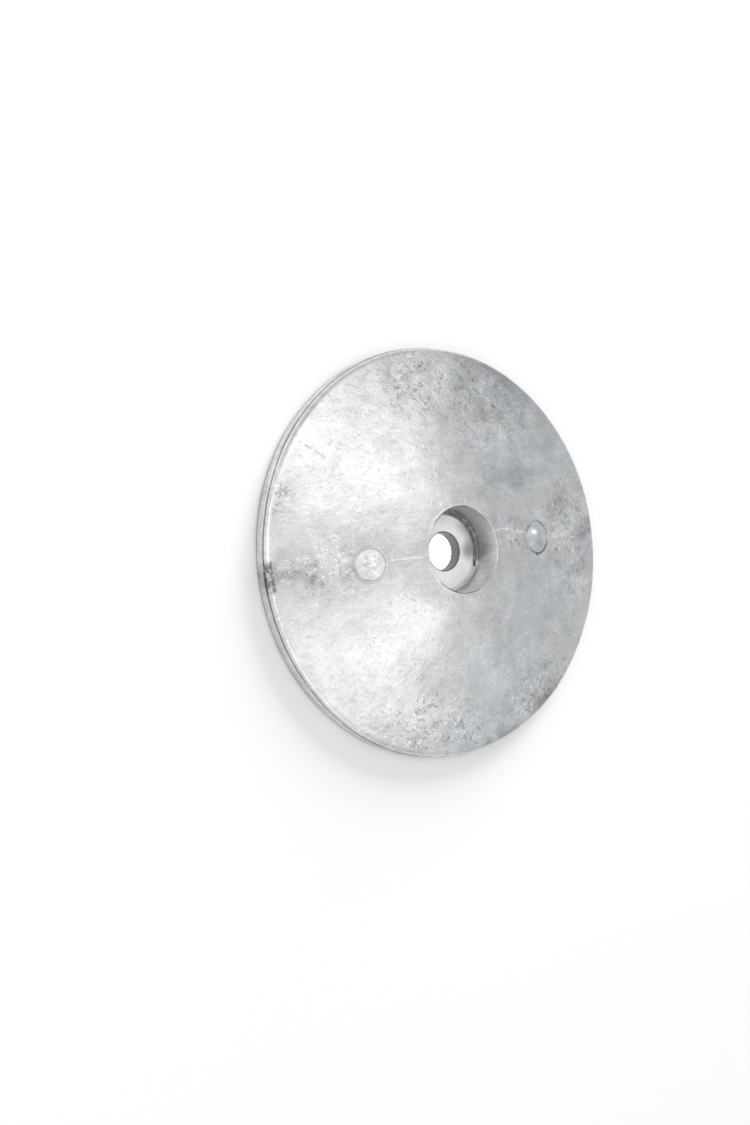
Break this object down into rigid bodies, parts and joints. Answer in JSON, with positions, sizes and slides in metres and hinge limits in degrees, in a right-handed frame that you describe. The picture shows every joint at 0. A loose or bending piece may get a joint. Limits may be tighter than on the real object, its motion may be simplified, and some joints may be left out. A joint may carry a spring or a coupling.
{
  "type": "sacrificial anode",
  "caption": "Round cast zinc disc with a shallow conical face, a deep central recess for a lock nut and a clearance hole for a stud.",
  "frame": {"origin": "centre of the flat back face, on the stud axis", "axes": "+Z along the stud axis, out of the conical front face; the two casting marks lie on the X axis, the gate pad on -X"},
  "size_m": [0.07, 0.07, 0.0078],
  "materials": {
    "zinc": "as-cast zinc, dull silver-grey with a fine mottled grain, shallow pits and light brushing"
  },
  "bodies": {
    "root": {"anode_disc": "zinc"}
  },
  "joints": []
}
